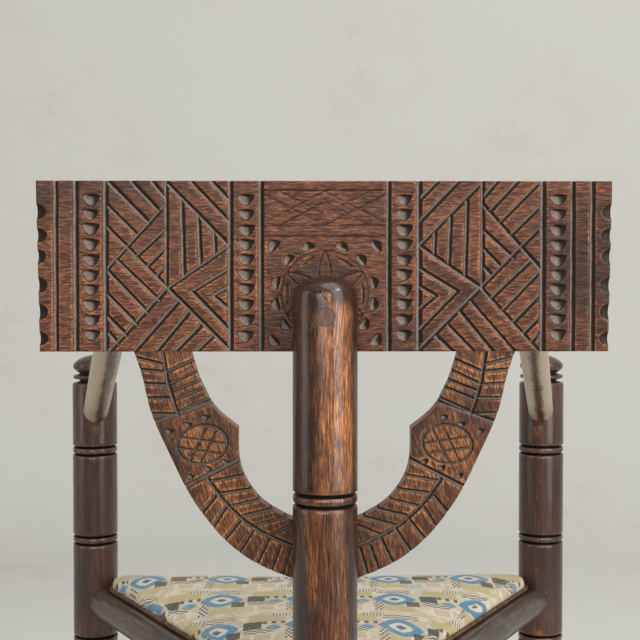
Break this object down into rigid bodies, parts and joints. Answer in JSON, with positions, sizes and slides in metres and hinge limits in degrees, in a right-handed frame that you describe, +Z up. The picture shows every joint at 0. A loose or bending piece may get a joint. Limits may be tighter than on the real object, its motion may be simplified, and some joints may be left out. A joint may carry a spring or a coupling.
{
  "type": "corner chair",
  "caption": "Corner chair of turned oak with a post at the back and at each front corner, sloping round arms, a carved crest and yoke behind, and a padded triangular seat.",
  "frame": {"origin": "on the floor, at the middle of the chair's box", "axes": "+X to the sitter's left, +Y to the back of the chair, +Z up"},
  "size_m": [0.582, 0.511, 0.8505],
  "materials": {
    "oak": "polished, dark brown, worn to orange on its edges",
    "deal": "plain sawn",
    "stuffing": "matt",
    "fabric": "woven, matt",
    "gimp": "braided cord, matt",
    "steel": "plain"
  },
  "bodies": {
    "root": {"rear_post": "oak", "front_post_left": "oak", "front_post_right": "oak", "crest_plank": "oak", "back_yoke": "oak", "arm_left": "oak", "arm_right": "oak", "seat_rail_left": "oak", "seat_rail_right": "oak", "seat_rail_front": "oak", "stretcher_left": "oak", "stretcher_right": "oak", "stretcher_front": "oak", "crest_plug": "oak", "arm_pegs": "oak", "yoke_dowels": "oak", "yoke_peg": "oak", "seat_board": "deal", "seat_pad": "stuffing", "seat_cover": "fabric", "seat_gimp": "gimp", "seat_screws": "steel", "crest_screw": "steel"}
  },
  "joints": []
}
